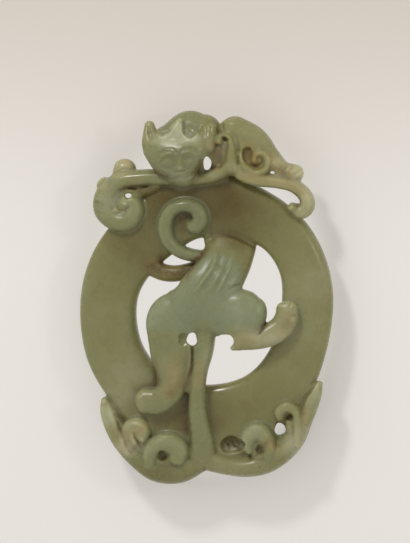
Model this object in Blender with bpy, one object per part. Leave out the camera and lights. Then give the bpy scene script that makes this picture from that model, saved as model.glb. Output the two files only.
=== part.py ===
"""Jade carving: a dragon winding through an oval ring, carved as one openwork solid.

It lies on its back. X runs across the ring, Y from the tail to the head, and Z up
towards the carved face. The origin is in the middle of the outline, on the resting plane.

The carving is drawn in about hundredths of its own height, one UNIT each: u to the right
and v up from the middle, and z over the resting plane. It is drawn as it is seen along a
line that leans a little to the right and upwards, so place() slides each point along it.
"""

from math import cos, pi, sin

import bmesh
import bpy
import numpy as np

HEIGHT = 0.070              # from the neck's top to the lowest scroll
RING_THICKNESS = 0.0048
HIP_HOLE_DIAMETER = 0.0019  # drilled through between the left hip and the tail
NOTCH_DIAMETER = 0.0029     # the round end of the gap behind the right thigh
CHEEK_HOLE_DIAMETER = 0.0015
PAW_HOLE_DIAMETER = 0.0010
SCROLL_HOLE_DIAMETER = 0.0018
FACE_BUDGET = 8600          # triangles left after the fused surface is thinned

DRAWN_HEIGHT = 101.1        # the drawing's units from the neck's top to the lowest scroll
UNIT = HEIGHT / DRAWN_HEIGHT
LEAN = 0.15                 # step to the right and upwards for each unit of depth
RING_FACE = 12.5            # the ring's front face over the resting plane
TOP = 24.0                  # clear above everything carved
BOTTOM = -3.0               # clear below the resting plane
VOXEL = 0.44                # grain of the fused surface
PATH_STEPS = 5              # sections between two stations of a limb
LIMB_SIDES = 14             # points round a limb's section
LIMB_POWER = 2.4            # an oval section a little squarer than an ellipse
LIMB_END_SHARES = (0.35, 0.62, 0.84)  # of a quarter turn, for the sections of a round end
RING_POWER = 3.4            # a squarish section with a gently domed face
RING_SECTIONS = 96
RING_SIDES = 20
OUTLINE_STEPS = 24
WELL_SIDES = 14
POLISH_FACTOR = 0.5
POLISH_STEPS = 3

JADE_COLOUR = (0.215, 0.205, 0.105, 1.0)
JADE_ROUGHNESS = 0.28

# The ring's outer edge at half its depth and its inner edge at its face, as (u, v).
RING_OUTER = [
    (33.8, -3), (32.3, 9), (26.6, 20), (17, 28), (0, 34.6), (-16, 28.2), (-26.8, 18), (-32, 8.3),
    (-33.8, -3), (-32, -16), (-26.7, -26), (-14, -40.5), (6, -43.5), (21, -36.5), (29.8, -21.5),
]
RING_INNER = [
    (19.8, 0), (18.9, 7), (14.5, 13), (7, 16), (-3, 16.6), (-10.2, 12.3), (-15.4, 6.6),
    (-18.6, 0.5), (-19.3, -6), (-17.3, -14), (-11, -21), (0, -23.8), (10.5, -21), (17.3, -12.5),
]

# Limbs, locks and scrolls. A station is (u, v, z, half width, half depth), and the solid
# runs on past the first and the last station by a round end.
BODY = {
    "trunk": [
        (8.2, 21, 4.2, 5.2, 3.8), (6.4, 15.5, 8.2, 6.8, 3.6), (5.2, 10.5, 12.4, 6.5, 3.6),
        (2.8, 5, 15.0, 7.2, 3.8), (-0.2, -0.5, 15.4, 8.4, 3.9), (-1, -6, 15.2, 7.5, 3.6),
    ],
    "left_hip": [(-5.8, -2.2, 15.2, 5.8, 3.8), (-8.6, -6, 15.4, 7.4, 4.3), (-9.2, -11, 15.2, 6.6, 3.9)],
    "leg_web": [(-3.8, -10, 13.4, 1.8, 3.4), (-3.8, -17, 13.4, 1.6, 3.0), (-4.6, -24, 12.8, 1.5, 2.6)],
    "left_leg": [
        (-9.2, -11, 15.2, 6.6, 3.7), (-9.5, -16, 15.0, 5.4, 3.4), (-9.2, -20.5, 14.7, 4.2, 3.0),
        (-9.8, -24.6, 14.4, 3.8, 2.8), (-12.9, -27.5, 14.2, 3.5, 2.6), (-16.6, -27.6, 14.2, 3.4, 2.5),
    ],
    "right_thigh": [
        (2, -4.2, 14.9, 6.0, 3.6), (6.5, -4.2, 15.2, 6.5, 3.9), (9.8, -4.4, 15.2, 6.7, 3.9),
        (12.3, -5.2, 15.0, 5.6, 3.7),
    ],
    "right_leg": [
        (9.4, -9.9, 15.2, 4.4, 3.2), (13, -11.2, 15.0, 2.8, 3.0), (17, -10.5, 14.8, 2.5, 2.8),
        (20.4, -8.4, 14.6, 2.5, 2.6), (22, -5.4, 14.4, 2.7, 2.4), (21.8, -2.8, 14.2, 2.6, 2.2),
    ],
    "back_trunk": [
        (8.5, 20.5, 3.9, 4.9, 4.1), (4.5, 24.5, 3.5, 5.0, 4.1), (-0.5, 29.5, 3.4, 4.8, 4.1),
        (-4.8, 34.5, 4.6, 5.2, 4.4), (-6.2, 40, 7.5, 6.5, 4.8),
    ],
    "cheek_bed": [(-2, 38.4, 7.0, 4.2, 2.6), (3, 38.4, 7.2, 4.6, 2.6), (9, 37.5, 8.0, 4.8, 3.0)],
    "neck": [(-10.5, 42.2, 9.6, 4.0, 4.6), (-4.5, 44, 9.8, 6.1, 5.0), (-0.5, 44.2, 10.0, 4.9, 4.6)],
    "shoulder": [
        (7, 43.5, 10.0, 5.3, 4.4), (12, 41, 10.4, 5.0, 4.2), (16.5, 36.9, 10.8, 3.6, 3.5),
        (20.4, 34, 11.0, 2.5, 2.9), (23.6, 33.3, 11.0, 2.4, 2.6),
    ],
}
RIDGES = {
    "back_ridge_left": [(2.2, 12.5, 14.0, 0.8, 1.6), (1.9, 9.5, 16.3, 0.9, 1.5), (-0.4, 6.2, 17.9, 1.0, 1.3),
                        (-3.4, 2.8, 18.5, 1.0, 1.0)],
    "back_ridge_middle": [(5, 11, 14.9, 0.8, 1.4), (3.4, 6.5, 17.5, 1.0, 1.3), (1.4, 3.2, 18.3, 1.0, 1.0)],
    "back_ridge_right": [(7.8, 11.5, 14.2, 0.8, 1.5), (6.4, 8, 16.4, 0.9, 1.4), (4.4, 4.2, 18.0, 0.9, 1.1),
                         (2.8, 1.2, 18.5, 0.9, 0.9)],
}
HEAD = {
    "skull": [
        (-6.6, 34.4, 14.6, 4.4, 3.6), (-7, 36.4, 15.2, 6.4, 4.4), (-7.5, 38.5, 15.2, 8.4, 4.7),
        (-7.9, 40.2, 15.0, 9.3, 4.4), (-7.9, 41.2, 14.8, 8.8, 3.6),
    ],
    "chin": [(-6.6, 31.8, 13.6, 2.2, 2.4), (-6.7, 33.4, 14.4, 3.0, 2.8)],
    "muzzle": [(-6.9, 37.2, 18.0, 1.3, 1.6), (-6.9, 34.6, 17.6, 2.6, 1.9)],
    "left_ear": [(-14.8, 41.2, 14.4, 2.5, 3.0), (-15, 44, 14.2, 1.7, 2.2), (-15.4, 46, 14.0, 1.0, 1.4)],
    "crest": [(-7.8, 41.4, 15.6, 3.2, 2.8), (-7.3, 43.6, 15.8, 1.5, 2.2), (-6.9, 47, 15.6, 0.6, 1.3)],
    "right_ear": [(-0.2, 40.6, 14.4, 2.4, 3.0), (0.6, 44.4, 13.6, 2.3, 2.2)],
    "left_brow": [(-12.4, 38.4, 18.4, 1.2, 1.3), (-9.2, 38.9, 19.2, 1.1, 1.1)],
    "right_brow": [(-5.2, 38.9, 19.2, 1.1, 1.1), (-2.4, 38.4, 18.4, 1.2, 1.3)],
}
LOCKS = {
    "small_curl": [
        (7, 34.6, 12.8, 2.1, 2.8), (6.9, 38, 12.9, 1.6, 2.8), (6.9, 41, 13.0, 1.1, 2.6),
        (5.9, 43.3, 13.0, 0.9, 2.4), (4.2, 43.4, 13.0, 1.0, 2.4), (3.4, 42.2, 13.0, 1.2, 2.4),
    ],
    "chin_lock": [
        (6.4, 35.4, 12.8, 1.9, 2.9), (3.8, 33.4, 12.6, 1.9, 2.8), (0, 32.2, 12.4, 1.8, 2.6),
        (-5, 31.6, 12.2, 1.4, 2.4), (-9, 31.8, 12.0, 1.5, 2.4),
    ],
    "long_lock": [
        (7.4, 35.2, 12.8, 1.9, 2.9), (10, 32.8, 12.8, 1.8, 2.8), (14, 31.6, 12.8, 1.8, 2.7),
        (19, 31, 12.6, 1.7, 2.7), (23.6, 29.8, 12.0, 1.8, 2.8), (26.4, 26.6, 11.4, 2.0, 2.9),
        (25.8, 23.4, 11.8, 2.2, 2.9), (23.4, 23.7, 12.4, 2.0, 2.8),
    ],
    "inner_lock": [
        (9.2, 38.6, 12.4, 0.9, 2.6), (10.4, 35.2, 12.6, 1.2, 2.7), (13.2, 33.4, 12.6, 1.4, 2.7),
        (15.9, 34.6, 12.6, 1.1, 2.7), (16.5, 37.2, 12.6, 1.1, 2.7), (14.7, 38.7, 12.6, 1.2, 2.7),
    ],
    "left_foreleg": [
        (-8.6, 31.8, 12.2, 1.6, 2.6), (-13.5, 32.3, 12.2, 2.1, 2.9), (-18.5, 32, 12.2, 2.3, 3.0),
        (-23, 31, 12.0, 2.7, 3.1), (-26.4, 27.6, 11.6, 3.3, 3.2), (-26.9, 23.8, 11.4, 3.3, 3.2),
        (-24.4, 20.9, 12.0, 2.8, 3.2), (-20.8, 20.9, 12.4, 2.7, 3.1), (-18.9, 23.8, 12.5, 2.4, 3.0),
        (-19.4, 26, 12.5, 1.7, 2.9), (-21.3, 25.7, 12.5, 1.5, 2.8),
    ],
    "paw_bed": [(-22.8, 24, 8.4, 3.6, 2.6), (-22.8, 27.4, 8.4, 4.2, 2.6), (-19, 30, 8.4, 3.4, 2.6),
                (-14, 31.2, 8.2, 2.8, 2.6)],
    "left_elbow": [(-22, 33, 10.8, 2.8, 2.8), (-21.9, 34.8, 10.6, 2.8, 2.6)],
    "left_wrist": [(-25.8, 29, 10.6, 2.4, 2.8), (-27, 30, 10.6, 2.4, 2.6)],
    "flank_curl": [
        (1.5, 11.2, 11.4, 1.6, 2.8), (-3.5, 11.4, 11.8, 1.7, 2.7), (-7.6, 12.9, 12.2, 1.8, 2.7),
        (-10.3, 16, 12.6, 2.0, 2.8), (-10.9, 20, 12.8, 2.05, 2.8), (-9.2, 23.6, 12.8, 1.9, 2.8),
        (-5.6, 24.9, 12.8, 1.85, 2.8), (-2.3, 23.4, 12.8, 2.2, 2.8), (-2.2, 20.4, 12.8, 2.7, 2.8),
    ],
    "flank_web": [(-16, 9, 9.4, 2.3, 2.5), (-11.6, 6.9, 9.4, 2.3, 2.4), (-7.8, 6.6, 9.6, 2.2, 2.4),
                  (-2.5, 8, 10.4, 2.0, 2.4)],
}
TAIL = {
    "tail": [
        (-0.2, -7, 14.8, 3.0, 3.2), (-0.8, -14, 14.6, 2.7, 3.0), (-1.8, -19, 14.4, 2.3, 2.7),
        (-2.3, -24, 14.0, 2.1, 2.5), (-2.4, -29, 13.8, 2.4, 2.5), (-1.8, -34, 13.6, 2.6, 2.5),
        (-1, -38.5, 13.2, 3.1, 2.6), (-1, -42.4, 12.4, 3.6, 2.8),
    ],
    "left_fork": [
        (-1.5, -43.6, 11.0, 3.0, 3.6), (-7, -46.2, 9.2, 3.4, 5.2), (-13, -45.8, 8.8, 3.5, 5.6),
        (-18.4, -42.2, 9.0, 3.2, 5.0), (-22.8, -37.4, 9.8, 2.9, 4.2), (-26, -32.4, 10.8, 2.2, 3.4),
        (-27, -28.6, 11.2, 1.5, 2.8),
    ],
    "left_scroll_bed": [(-7, -42, 8.8, 2.4, 2.6), (-12, -42.4, 8.8, 2.6, 2.6), (-17, -39.6, 8.8, 2.4, 2.6)],
    "left_eye_scroll": [
        (-14.9, -44.6, 11.8, 1.7, 3.2), (-15.3, -41.2, 12.6, 1.8, 3.2), (-13.3, -38.6, 12.9, 2.2, 3.2),
        (-10, -38.2, 13.0, 2.4, 3.2), (-7.6, -40.2, 13.0, 2.6, 3.2), (-8.3, -41.6, 12.9, 2.4, 3.1),
    ],
    "left_small_scroll": [
        (-20.4, -41, 11.4, 1.5, 3.0), (-21.6, -37.4, 11.8, 1.5, 3.0), (-20.6, -34.4, 12.2, 1.7, 3.0),
        (-17.9, -33.5, 12.4, 1.8, 3.0), (-16.5, -35.4, 12.4, 1.6, 3.0), (-16.9, -37, 12.4, 1.3, 3.0),
    ],
    "right_fork": [
        (-0.5, -43, 11.2, 3.0, 3.6), (5.5, -44.4, 9.6, 2.9, 5.0), (11, -44.9, 8.8, 3.0, 5.6),
        (16, -43.8, 8.8, 3.2, 5.4), (20.6, -41, 9.2, 3.0, 5.0), (24, -37.6, 10.0, 2.5, 4.4),
        (26.6, -33, 10.8, 1.8, 3.4), (28.4, -28, 11.2, 2.0, 3.0), (29.6, -24.6, 11.2, 1.5, 2.6),
    ],
    "right_eye_scroll": [
        (17, -42.4, 11.4, 1.8, 3.2), (16.7, -38.8, 12.4, 1.9, 3.2), (14.7, -36, 12.8, 2.3, 3.2),
        (12.2, -36.8, 12.9, 2.4, 3.2), (11.4, -39, 12.8, 1.8, 3.1), (11.7, -40.2, 12.6, 1.2, 3.0),
    ],
    "right_small_scroll": [
        (24.4, -38.6, 11.6, 1.6, 3.0), (24.7, -34, 12.0, 1.5, 3.0), (24, -30.4, 12.3, 1.5, 3.0),
        (21.8, -29, 12.4, 1.6, 3.0), (19.8, -30.4, 12.4, 1.7, 3.0), (20.1, -32.2, 12.3, 1.3, 2.8),
    ],
}
BACK = {
    "left_back_scroll": [
        (-13, -44, 4.2, 2.8, 4.6), (-19, -38, 4.6, 2.6, 3.0), (-22, -31, 4.8, 2.2, 2.4),
        (-19, -26.5, 5.0, 2.0, 2.2), (-15.8, -29.6, 5.0, 1.8, 2.2),
    ],
    "right_back_scroll": [
        (14, -43, 4.2, 2.8, 4.6), (20.5, -37, 4.6, 2.6, 3.0), (24.5, -30, 4.8, 2.2, 2.4),
        (22, -25, 5.0, 2.0, 2.2), (18.6, -27.6, 5.0, 1.8, 2.2),
    ],
}

# Hollows cut after the limbs are fused, as (u, v, half width, half height, floor).
HOLLOWS = {
    "tail_pit": (6.5, -39, 2.9, 2.3, 7.0),
    "left_scroll_eye": (-11.9, -42.2, 1.5, 1.5, 10.6),
    "right_scroll_eye": (14.3, -40.6, 0.9, 1.2, 10.8),
    "small_scroll_eye": (22.2, -32, 0.8, 1.0, 9.0),
    "hip_dimple": (-6.0, -11.4, 1.6, 1.7, 17.6),
    "cheek_hollow": (3.1, 37.4, 1.6, 2.5, 8.6),
    "lock_hollow": (12.4, 37.6, 1.9, 2.4, 10.6),
}
# Holes right through along the line of sight, as (u, v, diameter, height over width).
HOLES = {
    "hip_hole": (-3.9, -11, HIP_HOLE_DIAMETER, 1.3),
    "thigh_notch": (5.1, -11.7, NOTCH_DIAMETER, 1.0),
    "cheek_hole": (0.2, 36, CHEEK_HOLE_DIAMETER, 1.7),
    "paw_hole": (-21, 27.6, PAW_HOLE_DIAMETER, 1.0),
    "scroll_hole": (19.8, -35.2, SCROLL_HOLE_DIAMETER, 1.2),
}


def unit(vector):
    return np.array(vector) / np.linalg.norm(vector)


# The line of sight, and right and up as they are seen along it.
OUT = unit((LEAN, LEAN, 1.0))
RIGHT = unit(np.cross((0.0, 1.0, 0.0), OUT))
UP = np.cross(OUT, RIGHT)


def place(u, v, z):
    """A drawn point in metres: seen at (u, v), and slid along the line of sight to height z."""
    across = u * RIGHT + v * UP
    slide = (z - RING_FACE - across[2]) / OUT[2]
    return (across + slide * OUT + np.array([0.0, 0.0, RING_FACE])) * UNIT


def through(points, steps, closed=False):
    """Smooth curve through the points: Catmull-Rom, with knots at the root of each chord."""
    points = np.array(points, dtype=float)
    if closed:
        points = np.vstack([points[-1], points, points[0], points[1]])
    else:
        points = np.vstack([2 * points[0] - points[1], points, 2 * points[-1] - points[-2]])
    curve = []
    for p0, p1, p2, p3 in zip(points, points[1:], points[2:], points[3:]):
        chords = [np.linalg.norm(b[:3] - a[:3]) ** 0.5 for a, b in ((p0, p1), (p1, p2), (p2, p3))]
        t0, t1, t2, t3 = np.cumsum([0.0] + chords)
        for t in np.linspace(t1, t2, steps, endpoint=False):
            a1 = ((t1 - t) * p0 + (t - t0) * p1) / (t1 - t0)
            a2 = ((t2 - t) * p1 + (t - t1) * p2) / (t2 - t1)
            a3 = ((t3 - t) * p2 + (t - t2) * p3) / (t3 - t2)
            b1 = ((t2 - t) * a1 + (t - t0) * a2) / (t2 - t0)
            b2 = ((t3 - t) * a2 + (t - t1) * a3) / (t3 - t1)
            curve.append(((t2 - t) * b1 + (t - t1) * b2) / (t2 - t1))
    if not closed:
        curve.append(points[-2])
    return np.array(curve)


def rounded(angle, power):
    """A point of the unit superellipse, round at power 2 and squarer above it."""
    c, s = cos(angle), sin(angle)
    return np.sign(c) * abs(c) ** (2 / power), np.sign(s) * abs(s) ** (2 / power)


def skin(bm, sections, closed=False, poles=()):
    """Quads between neighbouring sections, and a fan from each pole to the end it caps."""
    loops = [[bm.verts.new(point) for point in section] for section in sections]
    pairs = list(zip(loops, loops[1:]))
    if closed:
        pairs.append((loops[-1], loops[0]))
    for low, high in pairs:
        for i in range(len(low)):
            j = (i + 1) % len(low)
            bm.faces.new((low[i], low[j], high[j], high[i]))
    for pole, loop in zip(poles, (loops[0][::-1], loops[-1])):
        tip = bm.verts.new(pole)
        for i in range(len(loop)):
            bm.faces.new((loop[i], loop[(i + 1) % len(loop)], tip))


def limb(bm, stations):
    """One closed limb: a soft oval section carried along its stations, round at both ends."""
    path = through(stations, PATH_STEPS)
    spine = np.array([place(*row[:3]) for row in path])
    half_width, half_depth = path[:, 3] * UNIT, path[:, 4] * UNIT
    cap = np.minimum(half_width, half_depth)
    tangent = np.gradient(spine, axis=0)
    tangent /= np.linalg.norm(tangent, axis=1)[:, None]
    across = np.cross((0.0, 0.0, 1.0), tangent)
    across /= np.linalg.norm(across, axis=1)[:, None]
    upwards = np.cross(tangent, across)

    def section(k, shrink, forward):
        centre = spine[k] + tangent[k] * forward
        ring = []
        for i in range(LIMB_SIDES):
            a, b = rounded(2 * pi * i / LIMB_SIDES, LIMB_POWER)
            ring.append(centre + (across[k] * half_width[k] * a + upwards[k] * half_depth[k] * b) * shrink)
        return ring

    end_angles = [pi / 2 * share for share in LIMB_END_SHARES]
    last = len(spine) - 1
    sections = [section(0, cos(a), -cap[0] * sin(a)) for a in reversed(end_angles)]
    sections += [section(k, 1.0, 0.0) for k in range(len(spine))]
    sections += [section(last, cos(a), cap[last] * sin(a)) for a in end_angles]
    poles = (spine[0] - tangent[0] * cap[0], spine[last] + tangent[last] * cap[last])
    skin(bm, sections, poles=poles)


def ring_outline(points, z):
    """An edge of the ring as a closed curve, read at even angles round the hole's middle."""
    curve = np.array([place(u, v, z)[:2] for u, v in through(points, OUTLINE_STEPS, closed=True)])
    angle = np.unwrap(np.arctan2(curve[:, 1], curve[:, 0]))
    order = np.argsort(angle % (2 * pi))
    wanted = np.arange(RING_SECTIONS) * 2 * pi / RING_SECTIONS
    return [np.interp(wanted, (angle % (2 * pi))[order], curve[order, axis], period=2 * pi)
            for axis in (0, 1)]


def add_ring(bm):
    """The ring: one section carried round, between its two edges."""
    half_depth = RING_THICKNESS / UNIT / 2
    middle = RING_FACE - half_depth
    outer = ring_outline(RING_OUTER, middle)
    inner = ring_outline(RING_INNER, RING_FACE)
    sections = []
    for k in range(RING_SECTIONS):
        edge_out = np.array([outer[0][k], outer[1][k]])
        edge_in = np.array([inner[0][k], inner[1][k]])
        centre, reach = (edge_out + edge_in) / 2, (edge_out - edge_in) / 2
        section = []
        for i in range(RING_SIDES):
            a, b = rounded(2 * pi * i / RING_SIDES, RING_POWER)
            x, y = centre + reach * a
            section.append((x, y, (middle + half_depth * b) * UNIT))
        sections.append(section)
    skin(bm, sections, closed=True)


def jade():
    material = bpy.data.materials.new("jade")
    material.use_nodes = True
    shader = material.node_tree.nodes["Principled BSDF"]
    shader.inputs["Base Color"].default_value = JADE_COLOUR
    shader.inputs["Roughness"].default_value = JADE_ROUGHNESS
    shader.inputs["Metallic"].default_value = 0.0
    return material


def new_object(name, bm, parent):
    bmesh.ops.recalc_face_normals(bm, faces=bm.faces)
    mesh = bpy.data.meshes.new(name)
    bm.to_mesh(mesh)
    bm.free()
    made = bpy.data.objects.new(name, mesh)
    bpy.context.collection.objects.link(made)
    made.parent = parent
    return made


def add_well(bm, u, v, half_width, half_height, low, high):
    """A drilled oval: its two ends are level, and its wall runs along the line of sight."""
    ends = []
    for z in (low, high):
        centre = place(u, v, z)
        end = []
        for i in range(WELL_SIDES):
            angle = 2 * pi * i / WELL_SIDES
            end.append(centre + np.array([half_width * cos(angle), half_height * sin(angle), 0]) * UNIT)
        ends.append(end)
    skin(bm, ends, poles=(place(u, v, low), place(u, v, high)))


def hollow_cutter(parent):
    """All the blind hollows, which don't meet each other."""
    bm = bmesh.new()
    for u, v, half_width, half_height, floor in HOLLOWS.values():
        add_well(bm, u, v, half_width, half_height, floor, TOP)
    return new_object("hollow_cutter", bm, parent)


def hole_cutter(parent):
    """All the holes right through, which don't meet each other either."""
    bm = bmesh.new()
    for u, v, diameter, tallness in HOLES.values():
        radius = diameter / 2 / UNIT
        add_well(bm, u, v, radius, radius * tallness, BOTTOM, TOP)
    return new_object("hole_cutter", bm, parent)


def floor_cutter(parent):
    """A slab with its top on the resting plane, which gives the back its resting flats."""
    bm = bmesh.new()
    bmesh.ops.create_cube(bm, size=1.0)
    thickness = -2 * BOTTOM * UNIT
    bmesh.ops.scale(bm, vec=(HEIGHT * 2, HEIGHT * 2, thickness), verts=bm.verts)
    bmesh.ops.translate(bm, vec=(0, 0, -thickness / 2), verts=bm.verts)
    return new_object("floor_cutter", bm, parent)


def cut_with(target, cutter):
    cutter.hide_render = True
    cutter.display_type = "WIRE"
    cut = target.modifiers.new(cutter.name, "BOOLEAN")
    cut.operation = "DIFFERENCE"
    cut.solver = "EXACT"
    cut.object = cutter


def evaluated_mesh(made):
    made_now = made.evaluated_get(bpy.context.evaluated_depsgraph_get())
    return made_now.to_mesh(), made_now


def build_carving():
    frame = bpy.data.objects.new("carving_frame", None)
    bpy.context.collection.objects.link(frame)

    bm = bmesh.new()
    add_ring(bm)
    for group in (BODY, RIDGES, HEAD, LOCKS, TAIL, BACK):
        for stations in group.values():
            limb(bm, stations)
    carving = new_object("jade_carving", bm, frame)
    carving.data.materials.append(jade())

    fuse = carving.modifiers.new("fuse", "REMESH")
    fuse.mode = "VOXEL"
    fuse.voxel_size = VOXEL * UNIT
    polish = carving.modifiers.new("polish", "SMOOTH")
    polish.factor = POLISH_FACTOR
    polish.iterations = POLISH_STEPS

    mesh, now = evaluated_mesh(carving)
    triangles = sum(len(face.vertices) - 2 for face in mesh.polygons)
    now.to_mesh_clear()
    thin = carving.modifiers.new("thin", "DECIMATE")
    thin.ratio = FACE_BUDGET / triangles
    cut_with(carving, floor_cutter(frame))
    cut_with(carving, hollow_cutter(frame))
    cut_with(carving, hole_cutter(frame))

    mesh, now = evaluated_mesh(carving)
    corners = np.array([vertex.co[:] for vertex in mesh.vertices])
    now.to_mesh_clear()
    middle = (corners.min(axis=0) + corners.max(axis=0)) / 2
    frame.location = (-middle[0], -middle[1], 0.0)


for old in list(bpy.data.objects):
    bpy.data.objects.remove(old, do_unlink=True)
build_carving()
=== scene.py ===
import math

import bpy
import numpy as np
from mathutils import Matrix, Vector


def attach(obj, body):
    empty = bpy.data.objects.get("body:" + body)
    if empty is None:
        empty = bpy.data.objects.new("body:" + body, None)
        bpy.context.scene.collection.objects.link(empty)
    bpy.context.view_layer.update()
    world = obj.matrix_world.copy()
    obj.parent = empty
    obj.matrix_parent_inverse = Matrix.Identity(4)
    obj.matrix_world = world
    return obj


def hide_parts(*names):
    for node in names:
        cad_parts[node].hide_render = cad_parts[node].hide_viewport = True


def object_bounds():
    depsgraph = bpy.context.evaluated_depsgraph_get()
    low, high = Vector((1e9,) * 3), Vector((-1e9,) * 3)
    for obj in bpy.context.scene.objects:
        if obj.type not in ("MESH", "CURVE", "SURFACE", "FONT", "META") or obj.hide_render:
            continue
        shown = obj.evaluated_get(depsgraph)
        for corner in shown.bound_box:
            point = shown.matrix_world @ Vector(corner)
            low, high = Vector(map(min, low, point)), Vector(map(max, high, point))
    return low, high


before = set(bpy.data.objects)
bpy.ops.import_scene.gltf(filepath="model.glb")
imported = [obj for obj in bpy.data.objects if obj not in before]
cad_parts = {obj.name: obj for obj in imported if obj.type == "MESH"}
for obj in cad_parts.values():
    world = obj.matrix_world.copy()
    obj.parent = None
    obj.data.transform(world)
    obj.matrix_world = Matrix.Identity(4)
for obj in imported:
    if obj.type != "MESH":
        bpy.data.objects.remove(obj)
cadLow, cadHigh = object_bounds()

print("frame loaded")

# drawing

# The carving is drawn in units, as the photograph shows it: u to the right, v up, both from
# the middle of the ring, and z above the floor that it lies on. The line of sight leans to
# the right and to the top, so a drawn point is slid along that line to its own height.
drawing = {
    "unit": 0.070 / 101.1,              # metres for one unit
    "lean": 0.15,                       # sideways and upward step for each unit of height
    "ringFace": 12.5,                   # height of the ring's face, in units
    "middle": (0.0003366, 0.0003557),   # the drawing's middle in the part's frame
    "grain": 0.00015,                   # size of the finest facets, in metres
    "quickGrain": 0.00026,
    "fusedRounds": [0.6, -0.3] * 6 + [0.5] * 3,     # smoothing rounds before the marks are carved
    "markedRounds": [0.5, -0.3] * 2,    # and after
    "markFacing": (0.05, 0.55),         # marks come in where the skin turns to the eye
    "faceLimit": 190000,
}
unit = drawing["unit"]
shift = np.array([*drawing["middle"], 0.0])
toEye = np.array([drawing["lean"], drawing["lean"], 1.0])
toEye /= np.linalg.norm(toEye)
seenRight = np.cross((0.0, 1.0, 0.0), toEye)
seenRight /= np.linalg.norm(seenRight)
seenUp = np.cross(toEye, seenRight)
faceMiddle = np.array([0.0, 0.0, drawing["ringFace"]])


# drawn (u, v, z) columns to points in units: across the line of sight, then slid along it
def placeDrawn(u, v, z):
    across = u[:, None] * seenRight + v[:, None] * seenUp
    slide = (z - drawing["ringFace"] - across[:, 2]) / toEye[2]
    return across + slide[:, None] * toEye + faceMiddle


# rows given in tenths, as one array in units; numbers left off the end of a row are those of the
# row before
def inUnits(rows):
    full = [rows[0]]
    for row in rows[1:]:
        full.append((*row, *full[-1][len(row):]))
    return np.array(full, dtype=float) / 10


# smooth curve through rows: cubic between two of them, with knots at the root of each chord
def curveThrough(p, steps, closed=False):
    if closed:
        p = np.vstack([p[-1], p, p[0], p[1]])
    else:
        p = np.vstack([2 * p[0] - p[1], p, 2 * p[-1] - p[-2]])
    p0, p1, p2, p3 = p[:-3, None], p[1:-2, None], p[2:-1, None], p[3:, None]

    def chord(a, b):
        return np.sqrt(np.linalg.norm((b - a)[..., :3], axis=-1))[..., None]

    t1 = chord(p0, p1)
    t2 = t1 + chord(p1, p2)
    t3 = t2 + chord(p2, p3)
    t = t1 + (t2 - t1) * np.linspace(0, 1, steps, endpoint=False)[None, :, None]
    a1 = p0 + (p1 - p0) * t / t1
    a2 = p1 + (p2 - p1) * (t - t1) / (t2 - t1)
    a3 = p2 + (p3 - p2) * (t - t2) / (t3 - t2)
    b1 = a1 + (a2 - a1) * t / t2
    b2 = a2 + (a3 - a2) * (t - t1) / (t3 - t1)
    curve = (b1 + (b2 - b1) * (t - t1) / (t2 - t1)).reshape(-1, p.shape[1])
    return curve if closed else np.vstack([curve, p[-2]])


# triangles of a grid of rows by columns whose columns close on themselves
def gridTriangles(rows, columns, closedRows=False):
    i = np.arange(rows if closedRows else rows - 1)[:, None]
    j = np.arange(columns)[None, :]
    a, b = i * columns + j, i * columns + (j + 1) % columns
    c, d = ((i + 1) % rows) * columns + (j + 1) % columns, ((i + 1) % rows) * columns + j
    halves = [np.stack(corners, -1).reshape(-1, 3) for corners in ([a, b, c], [a, c, d])]
    return np.concatenate(halves)


# the same grid from rings of points, with a fan from the middle of each end ring to close it
def closedSurface(rings):
    rows, columns = rings.shape[:2]
    points = np.concatenate([rings.reshape(-1, 3), rings[0].mean(0)[None], rings[-1].mean(0)[None]])
    j = np.arange(columns)
    after = (j + 1) % columns
    low, high = rows * columns, rows * columns + 1
    last = (rows - 1) * columns
    fans = [np.stack([np.full(columns, low), after, j], -1),
            np.stack([np.full(columns, high), last + j, last + after], -1)]
    return points, np.concatenate([gridTriangles(rows, columns), *fans])


# x and y of a superellipse at an angle: each is the signed power 2/n of its cosine or sine
def squarish(angle, power):
    c, s = np.cos(angle), np.sin(angle)
    return np.sign(c) * np.abs(c) ** (2 / power), np.sign(s) * np.abs(s) ** (2 / power)


# limb: a superellipse carried along its stations, shrinking by the cosine of a quarter turn at
# both ends
def limbSurface(stations, power, steps=8, sides=32, capSteps=7):
    path = curveThrough(inUnits(stations), steps)
    spine = placeDrawn(*path[:, :3].T)
    tangent = np.gradient(spine, axis=0)
    tangent /= np.linalg.norm(tangent, axis=1)[:, None]
    across = np.cross((0.0, 0.0, 1.0), tangent)
    across /= np.linalg.norm(across, axis=1)[:, None]
    upward = np.cross(tangent, across)
    turn = np.linspace(0, math.pi / 2, capSteps + 1, endpoint=False)[1:]
    last = len(spine) - 1
    cap = np.minimum(path[:, 3], path[:, 4])
    k = np.concatenate([np.zeros(capSteps, int), np.arange(last + 1), np.full(capSteps, last)])
    along = np.concatenate([-cap[0] * np.sin(turn[::-1]), np.zeros(last + 1), cap[last] * np.sin(turn)])
    shrink = np.concatenate([np.cos(turn[::-1]), np.ones(last + 1), np.cos(turn)])
    a, b = squarish(np.arange(sides) * 2 * math.pi / sides, power)
    centre = spine[k] + tangent[k] * along[:, None]
    side = (across[k] * (path[k, 3] * shrink)[:, None])[:, None] * a[None, :, None]
    rise = (upward[k] * (path[k, 4] * shrink)[:, None])[:, None] * b[None, :, None]
    return closedSurface(centre[:, None] + side + rise)


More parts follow.
